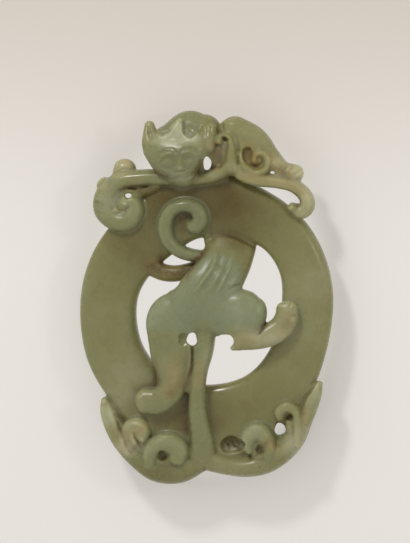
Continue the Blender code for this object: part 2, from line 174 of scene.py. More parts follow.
# ring: a superellipse between an outer and an inner edge, both read at even angles round the
# middle
def ringSurface(ring):
    turns = np.arange(ring["sections"]) * 2 * math.pi / ring["sections"]
    middle = drawing["ringFace"] - ring["depth"] / 2

    def edge(rows, z):
        curve = curveThrough(inUnits(rows), ring["edgeSteps"], closed=True)
        curve = placeDrawn(*curve.T, np.full(len(curve), z))
        angle = np.arctan2(curve[:, 1], curve[:, 0]) % (2 * math.pi)
        order = np.argsort(angle)
        across, up = (np.interp(turns, angle[order], curve[order, k], period=2 * math.pi) for k in (0, 1))
        return np.stack([across, up], 1)

    outer, inner = edge(ring["outer"], middle), edge(ring["inner"], drawing["ringFace"])
    a, b = squarish(np.arange(ring["sides"]) * 2 * math.pi / ring["sides"], ring["power"])
    flat = ((outer + inner) / 2)[:, None] + ((outer - inner) / 2)[:, None] * a[None, :, None]
    height = np.broadcast_to(middle + ring["depth"] / 2 * b, flat.shape[:2])
    points = np.concatenate([flat, height[..., None]], -1).reshape(-1, 3)
    return points, gridTriangles(ring["sections"], ring["sides"], closedRows=True)[:, ::-1]


# well: ovals stacked along the line of sight, smaller in the bowl at the bottom; their radius
# wanders by a cosine of three and a cosine of five turns, as a hand drill leaves it
def wellSurface(u, v, halfWidth, halfHeight, floor, top=24.0, bowl=1.6, sides=36):
    angle = np.arange(sides) * 2 * math.pi / sides
    wander = 1 + 0.07 * np.cos(3 * angle + u) + 0.04 * np.cos(5 * angle + v)
    ovals = []
    bowlShape = ((0.3, 0), (0.7, 0.2), (0.92, 0.55), (1, 1))        # shares of the width and the depth
    for share, z in [(share, floor + rise * bowl) for share, rise in bowlShape] + [(1, top)]:
        ovals.append(placeDrawn(u + halfWidth * share * wander * np.cos(angle),
                                v + halfHeight * share * wander * np.sin(angle), np.full(sides, z)))
    return closedSurface(np.array(ovals))


# several surfaces as one list of points and one of triangles
def joined(surfaces):
    starts = np.cumsum([0] + [len(points) for points, _ in surfaces])[:-1]
    return (np.concatenate([points for points, _ in surfaces]),
            np.concatenate([faces + start for (_, faces), start in zip(surfaces, starts)]))


def meshObject(name, points, triangles):
    mesh = bpy.data.meshes.new(name)
    mesh.vertices.add(len(points))
    mesh.vertices.foreach_set("co", np.ascontiguousarray(points, dtype=np.float32).ravel())
    mesh.loops.add(len(triangles) * 3)
    mesh.loops.foreach_set("vertex_index", np.ascontiguousarray(triangles, dtype=np.int32).ravel())
    mesh.polygons.add(len(triangles))
    mesh.polygons.foreach_set("loop_start", np.arange(len(triangles), dtype=np.int32) * 3)
    mesh.update(calc_edges=True)
    mesh.validate()
    made = bpy.data.objects.new(name, mesh)
    bpy.context.collection.objects.link(made)
    return made


# points, edges and triangles of an object with its modifiers
def readMesh(made):
    now = made.evaluated_get(bpy.context.evaluated_depsgraph_get())
    mesh = now.to_mesh()
    mesh.calc_loop_triangles()

    def read(rows, key, width, kind=np.int32):
        values = np.empty(len(rows) * width, dtype=kind)
        rows.foreach_get(key, values)
        return values.reshape(-1, width)

    points = read(mesh.vertices, "co", 3, np.float32).astype(float)
    edges, triangles = read(mesh.edges, "vertices", 2), read(mesh.loop_triangles, "vertices", 3)
    now.to_mesh_clear()
    return points, edges, triangles


def removeObject(made):
    mesh = made.data
    bpy.data.objects.remove(made, do_unlink=True)
    bpy.data.meshes.remove(mesh)


# each round moves a point a share of the way to the mean of its neighbours
def relax(points, edges, shares):
    count = len(points)
    first, second = edges[:, 0], edges[:, 1]
    degree = np.maximum(np.bincount(edges.ravel(), minlength=count), 1)[:, None]
    for share in shares:
        total = np.stack([np.bincount(first, points[second, k], count)
                          + np.bincount(second, points[first, k], count) for k in range(3)], 1)
        points = points + (total / degree - points) * share
    return points


# each point's normal: the cross products of its triangles, added and made one long
def pointNormals(points, triangles):
    a, b, c = (points[triangles[:, k]] for k in range(3))
    face = np.cross(b - a, c - a)
    total = np.stack([sum(np.bincount(triangles[:, corner], face[:, k], len(points))
                          for corner in range(3)) for k in range(3)], 1)
    return total / (np.linalg.norm(total, axis=1)[:, None] + 1e-30)


# 0 at low and 1 at high, by three squares less two cubes of the share between them
def softStep(low, high, x):
    t = np.clip((x - low) / (high - low), 0, 1)
    return t * t * (3 - 2 * t)


# forms

# edges are (u, v) and stations (u, v, z, half width, half depth), in tenths of a unit
ring = {
    "depth": 6.94, "power": 3.4, "sections": 260, "sides": 72, "edgeSteps": 30,
    "outer": [(338, -30), (323, 90), (266, 200), (170, 280), (0, 346), (-160, 282), (-268, 180), (-320, 83),
        (-338, -30), (-320, -160), (-267, -260), (-140, -405), (60, -435), (210, -365), (298, -215)],
    "inner": [(198, 0), (189, 70), (145, 130), (70, 156), (-24, 155), (-90, 116), (-150, 64), (-186, 5),
        (-193, -60), (-173, -140), (-110, -210), (0, -238), (105, -210), (173, -125)],
}
body = {
    "trunk": [(82, 210, 42, 52, 38), (73, 162, 83, 64, 36), (56, 108, 114, 68), (28, 50, 144, 72, 38),
        (-2, -5, 154, 84, 39), (-10, -60, 152, 75, 36)],
    "leftHip": [(-58, -22, 152, 58, 38), (-86, -60, 154, 74, 43), (-92, -110, 152, 66, 39)],
    "flankFill": [(32, 50, 149, 52, 38), (-8, 16, 154, 56, 39), (-44, -14, 155, 57, 41), (-76, -70, 153, 62)],
    "gapFill": [(4, 172, 100, 12, 22), (7, 148, 100), (9, 128, 100, 10)],
    "thighFill": [(-10, -15, 150, 48, 38), (40, -32, 152, 52, 39), (84, -48, 152)],
    "legWeb": [(-38, -100, 144, 19, 34), (-38, -170, 140, 18, 30), (-46, -240, 130, 15, 26)],
    "leftLeg": [(-92, -110, 152, 66, 37), (-95, -160, 150, 54, 34), (-92, -205, 147, 42, 30),
        (-98, -246, 144, 38, 28), (-129, -275, 142, 35, 26), (-166, -276, 142, 34, 25)],
    "rightThigh": [(20, -42, 149, 60, 36), (65, -42, 152, 65, 39), (98, -44, 152, 67), (123, -52, 150, 56, 37)],
    "rightLeg": [(94, -99, 152, 44, 32), (130, -107, 150, 31, 30), (170, -97, 147, 32, 28),
        (202, -74, 143, 32, 25), (215, -44, 140, 31, 23), (214, -28, 138, 29, 21)],
    "thighTip": [(90, -123, 150, 17, 26), (72, -132, 149, 8, 23)],
    "backTrunk": [(85, 205, 39, 49, 41), (45, 245, 35, 50), (-5, 295, 34, 48), (-48, 345, 46, 52, 44),
        (-62, 400, 75, 65, 48)],
    "cheekBed": [(-10, 384, 90, 38, 26), (30, 384, 104, 44), (90, 375, 108, 46, 28)],
    "cheekFill": [(-30, 346, 116, 18, 22), (-8, 362, 116), (6, 384, 116)],
    "lockBed": [(90, 376, 104, 34, 26), (130, 370, 106), (160, 360, 104, 26, 24)],
    "neck": [(-105, 422, 96, 40, 46), (-45, 440, 98, 61, 50), (-5, 442, 100, 49, 46)],
    "shoulder": [(70, 435, 100, 53, 44), (120, 410, 104, 50, 42), (165, 369, 108, 36, 35),
        (204, 340, 110, 25, 29), (236, 333, 110, 24, 26)],
}
head = {
    "skull": [(-69, 336, 140, 46, 32), (-74, 356, 149, 70, 43), (-77, 382, 153, 86, 47),
        (-79, 404, 149, 93, 43), (-79, 416, 145, 90, 36)],
    "jaw": [(-63, 320, 138, 32, 24), (-65, 338, 147, 40, 29)],
    "leftEar": [(-148, 412, 144, 25, 30), (-150, 440, 142, 20, 22), (-152, 460, 140, 14, 14)],
    "crest": [(-82, 412, 152, 42, 28), (-80, 440, 154, 27, 25), (-71, 472, 152, 8, 16)],
    "rightEar": [(-2, 406, 144, 24, 30), (6, 444, 136, 23, 22)],
}
locks = {
    "smallCurl": [(70, 346, 128, 21, 28), (69, 380, 129, 16), (69, 410, 130, 11, 26), (59, 433, 130, 9, 24),
        (42, 434, 130, 10), (34, 422, 130, 12)],
    "chinLock": [(64, 354, 128, 19, 29), (38, 334, 126, 19, 28), (0, 322, 124, 18, 26), (-50, 316, 122, 14, 24),
        (-90, 318, 120, 15)],
    "longLock": [(74, 352, 128, 19, 29), (100, 328, 128, 18, 28), (140, 316, 128, 18, 27), (190, 310, 126, 17),
        (236, 298, 120, 18, 28), (266, 269, 115, 19, 29), (268, 244, 117, 21), (252, 232, 120, 21, 28),
        (228, 244, 123, 11, 24)],
    "innerLock": [(92, 386, 124, 9, 26), (104, 352, 126, 12, 27), (132, 334, 126, 14), (159, 346, 126, 11),
        (166, 372, 126), (150, 389, 126), (132, 383, 126, 10), (131, 368, 126, 9)],
    "leftForeleg": [(-86, 318, 122, 16, 26), (-135, 323, 122, 21, 29), (-185, 320, 122, 23, 30),
        (-230, 310, 120, 27, 31), (-264, 276, 116, 33, 32), (-269, 238, 114), (-244, 209, 120, 28),
        (-208, 209, 124, 27, 31), (-189, 238, 125, 24, 30), (-194, 260, 125, 17, 29), (-213, 257, 125, 15, 28)],
    "pawBed": [(-228, 239, 120, 32, 26), (-228, 272, 117, 40), (-190, 294, 112, 32), (-140, 308, 108, 26)],
    "leftElbow": [(-220, 330, 108, 32, 28), (-218, 347, 106, 30, 26)],
    "leftWrist": [(-258, 290, 106, 24, 28), (-270, 300, 106, 24, 26)],
    "flankCurl": [(15, 112, 114, 16, 28), (-35, 114, 118, 17, 27), (-76, 129, 122, 18),
        (-103, 160, 126, 20, 28), (-109, 200, 128, 20.5), (-92, 236, 128, 19), (-56, 249, 128, 18.5),
        (-25, 238, 128, 20), (-15, 213, 128, 22), (-24, 196, 128, 21), (-36, 193, 128, 18.5, 27)],
    "flankWeb": [(-160, 90, 94, 23, 25), (-116, 69, 94, 23, 24), (-78, 66, 96, 22), (-25, 80, 104, 20)],
}
tail = {
    "tail": [(-2, -70, 148, 30, 32), (-8, -140, 146, 27, 30), (-18, -190, 144, 23, 27),
        (-23, -240, 140, 21, 25), (-24, -290, 138, 24), (-18, -340, 136, 26), (-10, -385, 132, 31, 26),
        (-10, -424, 124, 36, 28)],
    "leftFork": [(-15, -436, 110, 30, 36), (-70, -462, 92, 34, 52), (-130, -458, 88, 35, 56),
        (-184, -422, 90, 32, 50), (-228, -374, 98, 29, 42), (-255, -324, 108, 25, 34),
        (-267, -294, 112, 19, 28), (-272, -276, 112, 11, 22)],
    "leftScrollBed": [(-66, -424, 116, 24, 26), (-114, -432, 116, 28), (-170, -396, 109, 24)],
    "leftSmallBed": [(-190, -354, 128, 23, 24), (-186, -376, 124, 22), (-178, -400, 116, 19)],
    "leftEyeScroll": [(-150, -440, 118, 19, 32), (-147, -412, 126, 23), (-127, -392, 130, 27),
        (-98, -388, 130, 29), (-73, -405, 130, 28), (-76, -426, 128, 25, 31)],
    "leftSmallScroll": [(-206, -410, 114, 15, 30), (-216, -374, 118, 17), (-206, -346, 122, 19),
        (-180, -336, 124), (-166, -354, 124, 18), (-170, -374, 124, 16)],
    "rightFork": [(-5, -430, 112, 30, 36), (55, -444, 96, 29, 50), (110, -449, 88, 30, 56),
        (160, -438, 88, 32, 54), (206, -410, 92, 30, 50), (240, -376, 100, 25, 44), (262, -330, 108, 21, 34),
        (279, -280, 112, 23, 30), (294, -248, 112, 17, 26), (302, -230, 112, 9, 19)],
    "rightEyeScroll": [(170, -422, 114, 19, 32), (167, -388, 124, 21), (145, -358, 128, 25), (120, -366, 129),
        (113, -390, 128, 20, 31), (116, -402, 126, 14, 30)],
    "rightScrollBed": [(134, -384, 124, 24, 24), (142, -414, 119)],
    "rightSmallBed": [(224, -316, 118, 17, 22), (228, -345, 116), (220, -376, 112), (200, -396, 108, 19)],
    "rightSmallScroll": [(244, -386, 116, 16, 30), (247, -340, 120, 15), (240, -304, 123), (218, -290, 124, 16),
        (198, -304, 124, 17), (201, -322, 123, 13, 28)],
}
back = {
    "leftBackScroll": [(-130, -440, 42, 28, 46), (-190, -380, 46, 26, 30), (-220, -310, 48, 22, 24),
        (-190, -265, 50, 20, 22), (-158, -296, 50, 18)],
    "rightBackScroll": [(140, -430, 42, 28, 46), (205, -370, 46, 26, 30), (245, -300, 48, 22, 24),
        (220, -250, 50, 20, 22), (186, -276, 50, 18)],
}
limbs = {**body, **head, **locks, **tail, **back}
flatness = {"others": 2.4, "trunk": 2.6, "flankCurl": 2.6}     # power of a limb's section

# wells are (u, v, half width, half height, floor), in units
wells = {
    "tailPit": (6.9, -39.4, 3.3, 2.3, 10.2),
    "leftScrollEye": (-11.8, -42.4, 1.35, 1.5, 13.0),
    "rightScrollEye": (14.0, -40.6, 1.0, 1.3, 13.3),
    "smallScrollEye": (22.2, -32, 0.95, 1.15, 12.8),
    "hipDimple": (-5.9, -11.3, 1.9, 2.0, 17.7),
    "cheekHollow": (3.1, 37.6, 1.8, 2.9, 12.3),
    "lockHollow": (10.9, 38.2, 1.4, 2.3, 12.8),
    "leftScoop": (-11.5, 46.2, 1.9, 3.0, 14.9),
    "rightScoop": (-4.4, 45.4, 1.9, 2.9, 14.9),
}
holes = {
    "hipHole": (-3.9, -11, 1.37, 1.78, -3),
    "thighNotch": (5.1, -11.7, 2.1, 2.1, -3),
    "cheekHole": (0.2, 36, 1.08, 1.84, -3),
    "pawHole": (-20.9, 27.4, 0.95, 0.66, -3),
    "scrollHole": (19.7, -35.1, 1.5, 1.65, -3),
    "armHole": (17.6, 33.5, 0.75, 0.42, -3),
}


def addModifier(made, kind, **settings):
    modifier = made.modifiers.new(kind.lower(), kind)
    for key, value in settings.items():
        setattr(modifier, key, value)
    return modifier


# one skin round the ring and all limbs, less the wells and the holes
def fuseForms():
    grain = drawing["grain"]
    surfaces = [limbSurface(rows, flatness.get(name, flatness["others"])) for name, rows in limbs.items()]
    points, triangles = joined([ringSurface(ring), *surfaces])
    raw = meshObject("raw", points * unit, triangles)
    cutters = []
    for name, group in (("wellCutter", wells), ("holeCutter", holes)):
        points, triangles = joined([wellSurface(*row) for row in group.values()])
        cutters.append(meshObject(name, points * unit, triangles))
    addModifier(raw, "REMESH", mode="VOXEL", voxel_size=grain)
    for cutter in cutters:
        addModifier(raw, "BOOLEAN", operation="DIFFERENCE", solver="MANIFOLD", object=cutter)
    addModifier(raw, "REMESH", mode="VOXEL", voxel_size=grain).name = "again"
    points, edges, triangles = readMesh(raw)
    for made in cutters + [raw]:
        removeObject(made)
    return points / unit, edges, triangles


points, edges, triangles = fuseForms()
print("forms fused:", len(points), "points,", len(triangles), "triangles")


# carved marks, as (u, v, depth, half width) in tenths: a smooth trough along the line of sight,
# whose profile is the square of one less the squared distance; a negative depth raises a ridge
grooves = {
    # face
    "leftBrow": [(-126, 372, -1, 6), (-114, 382, -2.6, 7), (-97, 386, -3), (-83, 380, -1.8, 6)],
    "leftBrowLine": [(-124, 386, 0.5, 4), (-112, 395, 1.6, 4.5), (-95, 398, 1.6), (-79, 390, 0.5, 4)],
    "rightBrow": [(-65, 382, -1.8, 6), (-53, 390, -3, 7), (-38, 389, -2.6), (-24, 380, -1, 6)],
    "rightBrowLine": [(-66, 392, 0.5, 4), (-52, 401, 1.6, 4.5), (-36, 400, 1.6), (-22, 390, 0.5, 4)],
    "leftEyeLid": [(-122, 360, 0.8, 6), (-114, 370, 1.5), (-101, 374, 1.5), (-89, 368, 1.5), (-85, 359, 1, 5)],
    "leftEyeUnder": [(-117, 350, 0.6, 6), (-103, 346, 1.2), (-89, 349, 0.6)],
    "rightEyeLid": [(-64, 359, 1, 5), (-61, 368, 1.5, 6), (-49, 374, 1.5), (-36, 370, 1.5), (-30, 360, 0.8)],
    "rightEyeUnder": [(-62, 349, 0.6, 6), (-48, 346, 1.2), (-34, 350, 0.6)],
    "noseBridge": [(-75, 392, -0.6, 10), (-74, 374, -2.2, 11), (-72, 356, -3.2, 12), (-71, 346, -3.4, 13)],
    "underNose": [(-88, 339, 1.2, 4.5), (-78, 335, 2.2), (-63, 335, 2.2), (-53, 340, 1.2)],
    "mouth": [(-98, 328, 1.4, 5), (-84, 321, 2.6), (-68, 322, 2.2), (-52, 321, 2.6), (-38, 329, 1.4)],
    "leftCheekLine": [(-156, 384, 1, 6), (-144, 362, 2), (-126, 342, 3), (-106, 330, 2)],
    "rightCheekLine": [(-6, 388, 1, 6), (-14, 364, 1.8), (-24, 344, 2.4), (-32, 332, 1.6, 5)],
    "leftEarHollow": [(-155, 454, 2, 6), (-152, 440, 5, 10), (-146, 424, 3)],
    "leftEarSide": [(-169, 425, 1.5, 5), (-166, 405, 2.5, 6), (-157, 386, 2)],
    "earHairA": [(-14, 458, 1.2, 3), (-9, 444, 2.2, 3.4), (-7, 428, 1.5, 3)],
    "earHairB": [(-2, 464, 1.2, 3), (2, 449, 2.4, 3.4), (1, 432, 1.5, 3)],
    "earHairC": [(9, 466, 1.2, 3), (12, 452, 2.4, 3.4), (10, 436, 1.5, 3)],
    "earHairD": [(21, 460, 1.2, 3), (22, 449, 2, 3.4), (19, 438, 1.2, 3)],
    "behindEar": [(20, 472, 3, 5), (32, 460, 6, 6), (34, 448, 4, 5)],
    "leftScoopRim": [(-136, 444, 0, 5), (-128, 432, -3, 5.5), (-116, 427, -3.5), (-102, 432, -3),
        (-90, 448, -2, 5), (-76, 468, -2, 4.5)],
    "rightScoopRim": [(-69, 464, -2, 4.5), (-63, 436, -2.5, 5), (-52, 424, -3.5, 5.5), (-38, 422, -3.5),
        (-28, 430, -3, 5), (-22, 446, 0)],
    # right arm, its paw and its curls
    "shoulderCleft": [(36, 482, 10, 6), (40, 466, 9, 7), (44, 452, 5)],
    "armLine": [(158, 404, 0.5, 7), (176, 376, 1.6, 8), (192, 354, 1.6), (194, 336, 1, 7)],
    "toeA": [(215, 358, 2, 4.5), (212, 348, 3, 5), (206, 334, 1.5)],
    "toeB": [(233, 360, 2.5, 4.5), (228, 347, 3.2, 5), (219, 332, 1.5)],
    "toeC": [(252, 342, 2.5, 4.5), (243, 336, 3.2, 5), (230, 326, 1.5)],
    "toeD": [(264, 321, 2.5, 4.5), (252, 320, 3, 5), (238, 317, 1.5)],
    "curlLine": [(82, 336, 1, 6), (84, 365, 3), (86, 395, 3), (82, 424, 2.5), (69, 444, 1.5, 5)],
    "curlEye": [(54, 422, 9, 7), (46, 426, 9, 6)],
    "lockMiddle": [(94, 326, 0.5, 8), (135, 312, 1.4, 9), (190, 306, 1.6), (236, 294, 1.4), (262, 266, 0.5, 8)],
    "innerCurlLine": [(120, 355, 3, 4.5), (135, 353, 5), (148, 362, 5), (148, 374, 3, 4)],
    # left foreleg
    "pawToeA": [(-298, 261, 2, 6), (-289, 256, 3), (-276, 249, 1, 5)],
    "pawToeB": [(-298, 233, 2, 6), (-288, 229, 3), (-274, 223, 1, 5)],
    "pawSlotA": [(-212, 294, 4, 4.5), (-202, 294, 9, 6), (-190, 290, 4, 5)],
    "pawSlotB": [(-174, 295, 4, 4.5), (-165, 298, 8, 6), (-154, 300, 3, 5)],
    "pawSpiral": [(-229, 272, 2, 6), (-241, 256, 3, 7), (-236, 240, 3), (-220, 234, 3), (-208, 242, 2, 6)],
    "pawPad": [(-228, 254, -3, 6), (-220, 250, -3)],
    "elbowLine": [(-252, 331, 3, 6), (-230, 341, 2, 7), (-208, 346, 2), (-189, 346, 2, 6)],
    "wristLine": [(-294, 296, 2, 6), (-284, 304, 2), (-266, 318, 2.5), (-252, 327, 2)],
    # back, thighs and feet
    "ridgeLeft": [(26, 132, 0, 9), (24, 108, -3), (12, 80, -5), (-4, 56, -5), (-24, 28, -3.5, 10),
        (-36, 12, 0)],
    "valleyLeft": [(39, 125, 0.5, 11), (34, 96, 2), (20, 64, 2.6), (0, 34, 2, 12), (-18, 8, 0)],
    "ridgeMiddle": [(46, 94, 0, 10), (34, 68, -1.5, 11), (19, 43, -2.4, 13), (6, 20, 0, 12)],
    "valleyRight": [(64, 120, 0.5, 9), (54, 88, 1.8, 10), (37, 50, 2.6, 11), (22, 22, 1, 10)],
    "ridgeRight": [(69, 104, 0, 8), (61, 84, -3), (49, 56, -4.2), (35, 28, -3), (26, 9, 0)],
    "underRing": [(26, 170, 1, 6), (50, 166, 3), (74, 161, 3.5), (96, 151, 3.5), (116, 141, 3.5),
        (131, 132, 3)],
    "thighRim": [(60, 20, 1, 6), (72, 30, 4), (88, 35, 4)],
    "ankleFold": [(159, -69, 4.5, 6), (152, -80, 4.5), (142, -94, 3, 5), (136, -102, 1, 4)],
    "tailSeam": [(-39, -126, 8, 5), (-38, -150, 7, 5.5), (-39, -180, 4.5, 6), (-46, -210, 3, 7),
        (-56, -240, 1)],
    "heelLineA": [(-135, -246, 0.5, 5), (-118, -254, 1.4), (-98, -258, 1), (-84, -254, 0.2)],
    "rightToeA": [(223, -6, 1, 4), (223, -14, 2.2, 5), (220, -26, 1)],
    "rightToeB": [(240, -18, 1.5, 4.5), (232, -26, 2.5, 5), (223, -34, 1)],
    "rightToeC": [(246, -44, 1.5, 4.5), (238, -46, 2.2, 5), (227, -49, 1)],
    # tail and scrolls
    "scrollABand": [(-132, -366, 0, 6), (-119, -370, -2, 7), (-96, -370, -2), (-82, -376, 0, 6)],
    "scrollBBand": [(-210, -344, 0, 7), (-198, -336, -2.5, 8), (-180, -340, -2.5), (-168, -350, 0, 7)],
    "scrollBGap": [(-195, -360, 4, 5), (-192, -372, 6, 6), (-184, -386, 6, 7), (-176, -402, 3, 6)],
    "petalCLine": [(-247, -312, 0.5, 5), (-237, -334, 3, 6), (-226, -370, 4), (-208, -410, 2.5, 5),
        (-188, -434, 1, 4)],
    "petalCFace": [(-272, -290, 2.5, 9), (-266, -324, 3.5, 11), (-249, -364, 3), (-226, -402, 1, 9)],
    "scrollDBand": [(112, -350, 0, 6), (124, -344, -2, 7), (142, -342, -2), (156, -350, 0, 6)],
    "scrollDRoot": [(130, -424, 4, 5), (138, -419, 5, 6), (152, -410, 4, 5)],
    "scrollEBand": [(200, -290, 0, 6), (210, -284, -2), (222, -282, -2), (232, -288, 0)],
    "petalFLine": [(280, -248, 3, 5), (264, -270, 4.5), (254, -294, 3), (252, -320, 1)],
    "petalFNotch": [(279, -348, 5, 4), (266, -340, 3)],
    "pitScratchA": [(50, -384, 2, 3), (59, -394, 4, 3.5), (61, -406, 2, 3)],
    "pitScratchB": [(68, -382, 3, 3), (74, -396, 4.5, 3.5), (84, -402, 2, 3)],
    "pitScratchC": [(82, -386, 2, 3), (89, -394, 3)],
    "cleft": [(-6, -454, 4, 5), (-4, -466, 10, 8), (-12, -480, 8)],
    "speck": [(142, -454, 5, 2.5), (143, -456, 5)],
}
# domes as (u, v, half width, half height, rise), in units, by the square of one less the squared
# radius
domes = {
    "leftEye": (-10.3, 36.0, 1.5, 1.2, 0.15),
    "rightEye": (-4.8, 36.0, 1.5, 1.2, 0.15),
    "noseTip": (-7.2, 34.5, 1.5, 0.8, 0.3),
    "lip": (-7.0, 33.3, 1.5, 0.4, 0.35),
    "shoulderKnob": (6.6, 46.9, 2.2, 1.6, 0.35),
    "rightPad": (23.0, -6.0, 1.3, 1.6, 0.4),
    "footKnuckle": (-18.2, -26.6, 1.2, 1.0, 0.25),
    "pawKnuckle": (-24.6, 23.4, 1.1, 0.8, 0.4),
    "elbowKnob": (-17, 34.0, 1.6, 0.6, 0.25),
}


# drawn u and v of points in units
def seenFrom(points):
    away = points - faceMiddle
    return away @ seenRight, away @ seenUp


# which points are seen in the box of a path, widened by a reach
def seenNear(u, v, path, reach):
    return np.nonzero((u > path[:, 0].min() - reach) & (u < path[:, 0].max() + reach)
                      & (v > path[:, 1].min() - reach) & (v < path[:, 1].max() + reach))[0]


# share of a mark at each point: its profile times the value carried along its stations
def markAlong(u, v, rows, spread=1.0, steps=14):
    path = curveThrough(inUnits(rows)[:, [0, 1, 3, 2]] * (1, 1, spread, 1), steps)
    near = seenNear(u, v, path, path[:, 2].max())
    gap = (u[near, None] - path[None, :, 0]) ** 2 + (v[near, None] - path[None, :, 1]) ** 2
    closest = gap.argmin(axis=1)
    share = np.clip(1 - gap[np.arange(len(near)), closest] / path[closest, 2] ** 2, 0, 1) ** 2
    return near, share, path[closest, 3]


# sinks the points that face the eye, along the line of sight
def carveMarks(points, triangles):
    u, v = seenFrom(points)
    facing = softStep(*drawing["markFacing"], pointNormals(points, triangles) @ toEye)
    sink = np.zeros(len(points))
    for rows in grooves.values():
        near, share, depth = markAlong(u, v, rows)
        sink[near] += share * depth
    for cu, cv, halfWidth, halfHeight, height in domes.values():
        inside = np.clip(1 - ((u - cu) / halfWidth) ** 2 - ((v - cv) / halfHeight) ** 2, 0, 1)
        sink -= height * inside ** 2
    return points - (sink * facing)[:, None] * toEye


points = relax(points, edges, drawing["fusedRounds"])
points = carveMarks(points, triangles)
points = relax(points, edges, drawing["markedRounds"])
print("marks carved")


# thinned to the face limit, moved into the part's frame, and clipped to the solid's box, which
# leaves it flat where it rests
def finishForms(points, triangles):
    raw = meshObject("dense", points, triangles)
    addModifier(raw, "DECIMATE", ratio=min(1.0, drawing["faceLimit"] / len(triangles)))
    points, edges, triangles = readMesh(raw)
    removeObject(raw)
    inPart = np.clip(points * unit + shift, np.array(cadLow), np.array(cadHigh))
    return points, inPart, edges, triangles


points, inPart, edges, triangles = finishForms(points, triangles)
carving = meshObject("carved_jade", inPart, triangles)
carving.data.shade_smooth()
print("carving finished:", len(triangles), "triangles")

# stone

# tone runs from 0, the darkest, to 1, the palest, and green from 0 to 1
paint = {
    "tone": 0.52,
    "green": 0.15,
    "facing": (-0.2, 0.3),          # marks of colour come in where the skin turns to the eye
    "rimGreen": 0.3,                # added at the ring's left rim
    "rimFade": (-28, -34),          # between these u
    "limbMargin": (0.4, 1.2),       # added to a limb's half width and half depth
    "limbFade": (1.2, 0.9),         # shares of them where its colour starts and is full
    "limbReach": 1.3,
    "trunkTop": 5,                  # v above which the trunk keeps the ring's colour
    "stainShadeAndWarmSpread": 1.5,
    # smoothing rounds, and how far they move a point where a hollow or an edge starts and is full
    "bendRounds": [0.7] * 8,
    "hollow": (0.05, 0.25),
    "edge": (0.05, 0.28),
    # painted shade makes the hollows darker and painted light makes the edges paler; the brown in the hollows
    # is partly the stone's own and partly painted shade
    "hollowShade": 0.18,
    "edgeLight": 0.22,
    "hollowStainAndShade": 0.35,
}
# broad patches of the ring as (u, v, half width, half height, tone): negative is darker
ringPatches = {
    "ringTop": (-2, 27, 15, 7.5, -0.64),
    "ringUpperLeft": (-19, 14, 9, 9, -0.32),
    "ringLeft": (-25, -3, 9, 11, -0.02),
    "ringLowerLeft": (-24, -22, 8, 8, 0.08),
    "underTailLeft": (-9, -33, 8, 7, -0.28),
    "underTailRight": (5, -31, 10, 8, -0.24),
    "ringLowerRight": (19, -22, 9, 9, -0.04),
    "ringRight": (27, -2, 8, 14, 0.08),
    "ringUpperRight": (14, 20, 9, 6, -0.16),
    "curlShade": (-5, 20, 6, 5, -0.1),
    # painted shade: the lower lobe darker where it turns down, away from the light
    "lobeLeftShade": (-12, -47, 8, 4, -0.14),
    "underTrunk": (7, 18, 5, 4, -0.16),
}
# the same for places on the limbs, where they face the eye; some are painted highlights and painted shade
limbPatches = {
    # painted highlight: the forehead, its crest and the right rim paler where they catch the light
    "foreheadHighlight": (-8.6, 42.2, 4.4, 1.5, 0.62),
    "crestHighlight": (-7.6, 45.0, 1.2, 2.2, 0.4),
    "rightRimHighlight": (-3.4, 42.6, 1.6, 0.9, 0.36),
    "brow": (-7.6, 39.0, 6, 2.2, -0.28),
    "dome": (-4, 48, 6, 2.6, -0.13),
    "leftSpiral": (-22, 24.8, 2.8, 2.6, 0.2),
    "faceMiddle": (-7.2, 36.4, 6, 2.4, -0.1),
    "muzzle": (-6.6, 32.4, 3, 1.6, 0.26),
    "leftEarLight": (-15, 43, 1.8, 2.5, 0.14),
    "neckShade": (-12.6, 45.5, 3, 2, -0.06),
    "trunkTop": (7.4, 14.6, 6.5, 3.6, -0.18),
    # painted shade on the trunk's right side
    "rightTrunkShade": (9.6, 8, 2.2, 6, -0.1),
    "thighLight": (9, -4, 4, 4, 0.1),
    "rightLegLight": (15, -10.5, 5, 2.4, 0.14),
    "tailHigh": (0, -15, 2, 6, 0.18),
    "petalC": (-26.4, -31.6, 3, 4.6, 0.42),
    "leftForkLight": (-21.4, -40, 4, 3.4, 0.38),
    # painted shade: the lower lobe darker where it turns down, away from the light
    "leftLobeShade": (-12, -47.4, 8, 3, -0.15),
    "flankEnd": (-2.2, 21, 2.2, 2.6, -0.12),
    "flankTop": (-5.5, 25, 4.5, 2.0, -0.12),
    "hookEnd": (24.6, 22.8, 2.4, 1.6, 0.07),
    "cheekHollow": (3, 38, 2, 3.2, 0.32),
    "pit": (6.9, -39.4, 3, 2, 0.26),
    "rightForkLight": (23.6, -38, 4.6, 5.4, 0.26),
    "petalF": (28.6, -27, 3, 6, 0.15),
    "lowerRightFork": (9, -45.6, 6, 2.4, 0.02),
    "rightPaw": (25.2, 33.6, 2.8, 2.8, 0.3),
    "armLow": (19, 36, 3, 2.2, 0.18),
    "longLockLight": (18, 31.2, 7, 2, 0.06),
    "hookLight": (27.2, 26.8, 2.4, 3, 0.2),
    "chinLight": (2, 32.8, 4, 1.8, 0.16),
    "leftPawLight": (-27, 26, 2.4, 3.4, 0.19),
    "elbowLight": (-21.6, 35.8, 2.6, 1.6, 0.09),
    # painted highlights on the tops of the scrolls
    "scrollAHighlight": (-10.5, -38.4, 5, 2.4, 0.04),
    "scrollBHighlight": (-19.4, -33.8, 2.4, 1.8, 0.12),
    "scrollDHighlight": (12.8, -35.8, 2.6, 2.4, 0.16),
    "scrollEHighlight": (21, -29.4, 2.4, 1.8, 0.05),
}
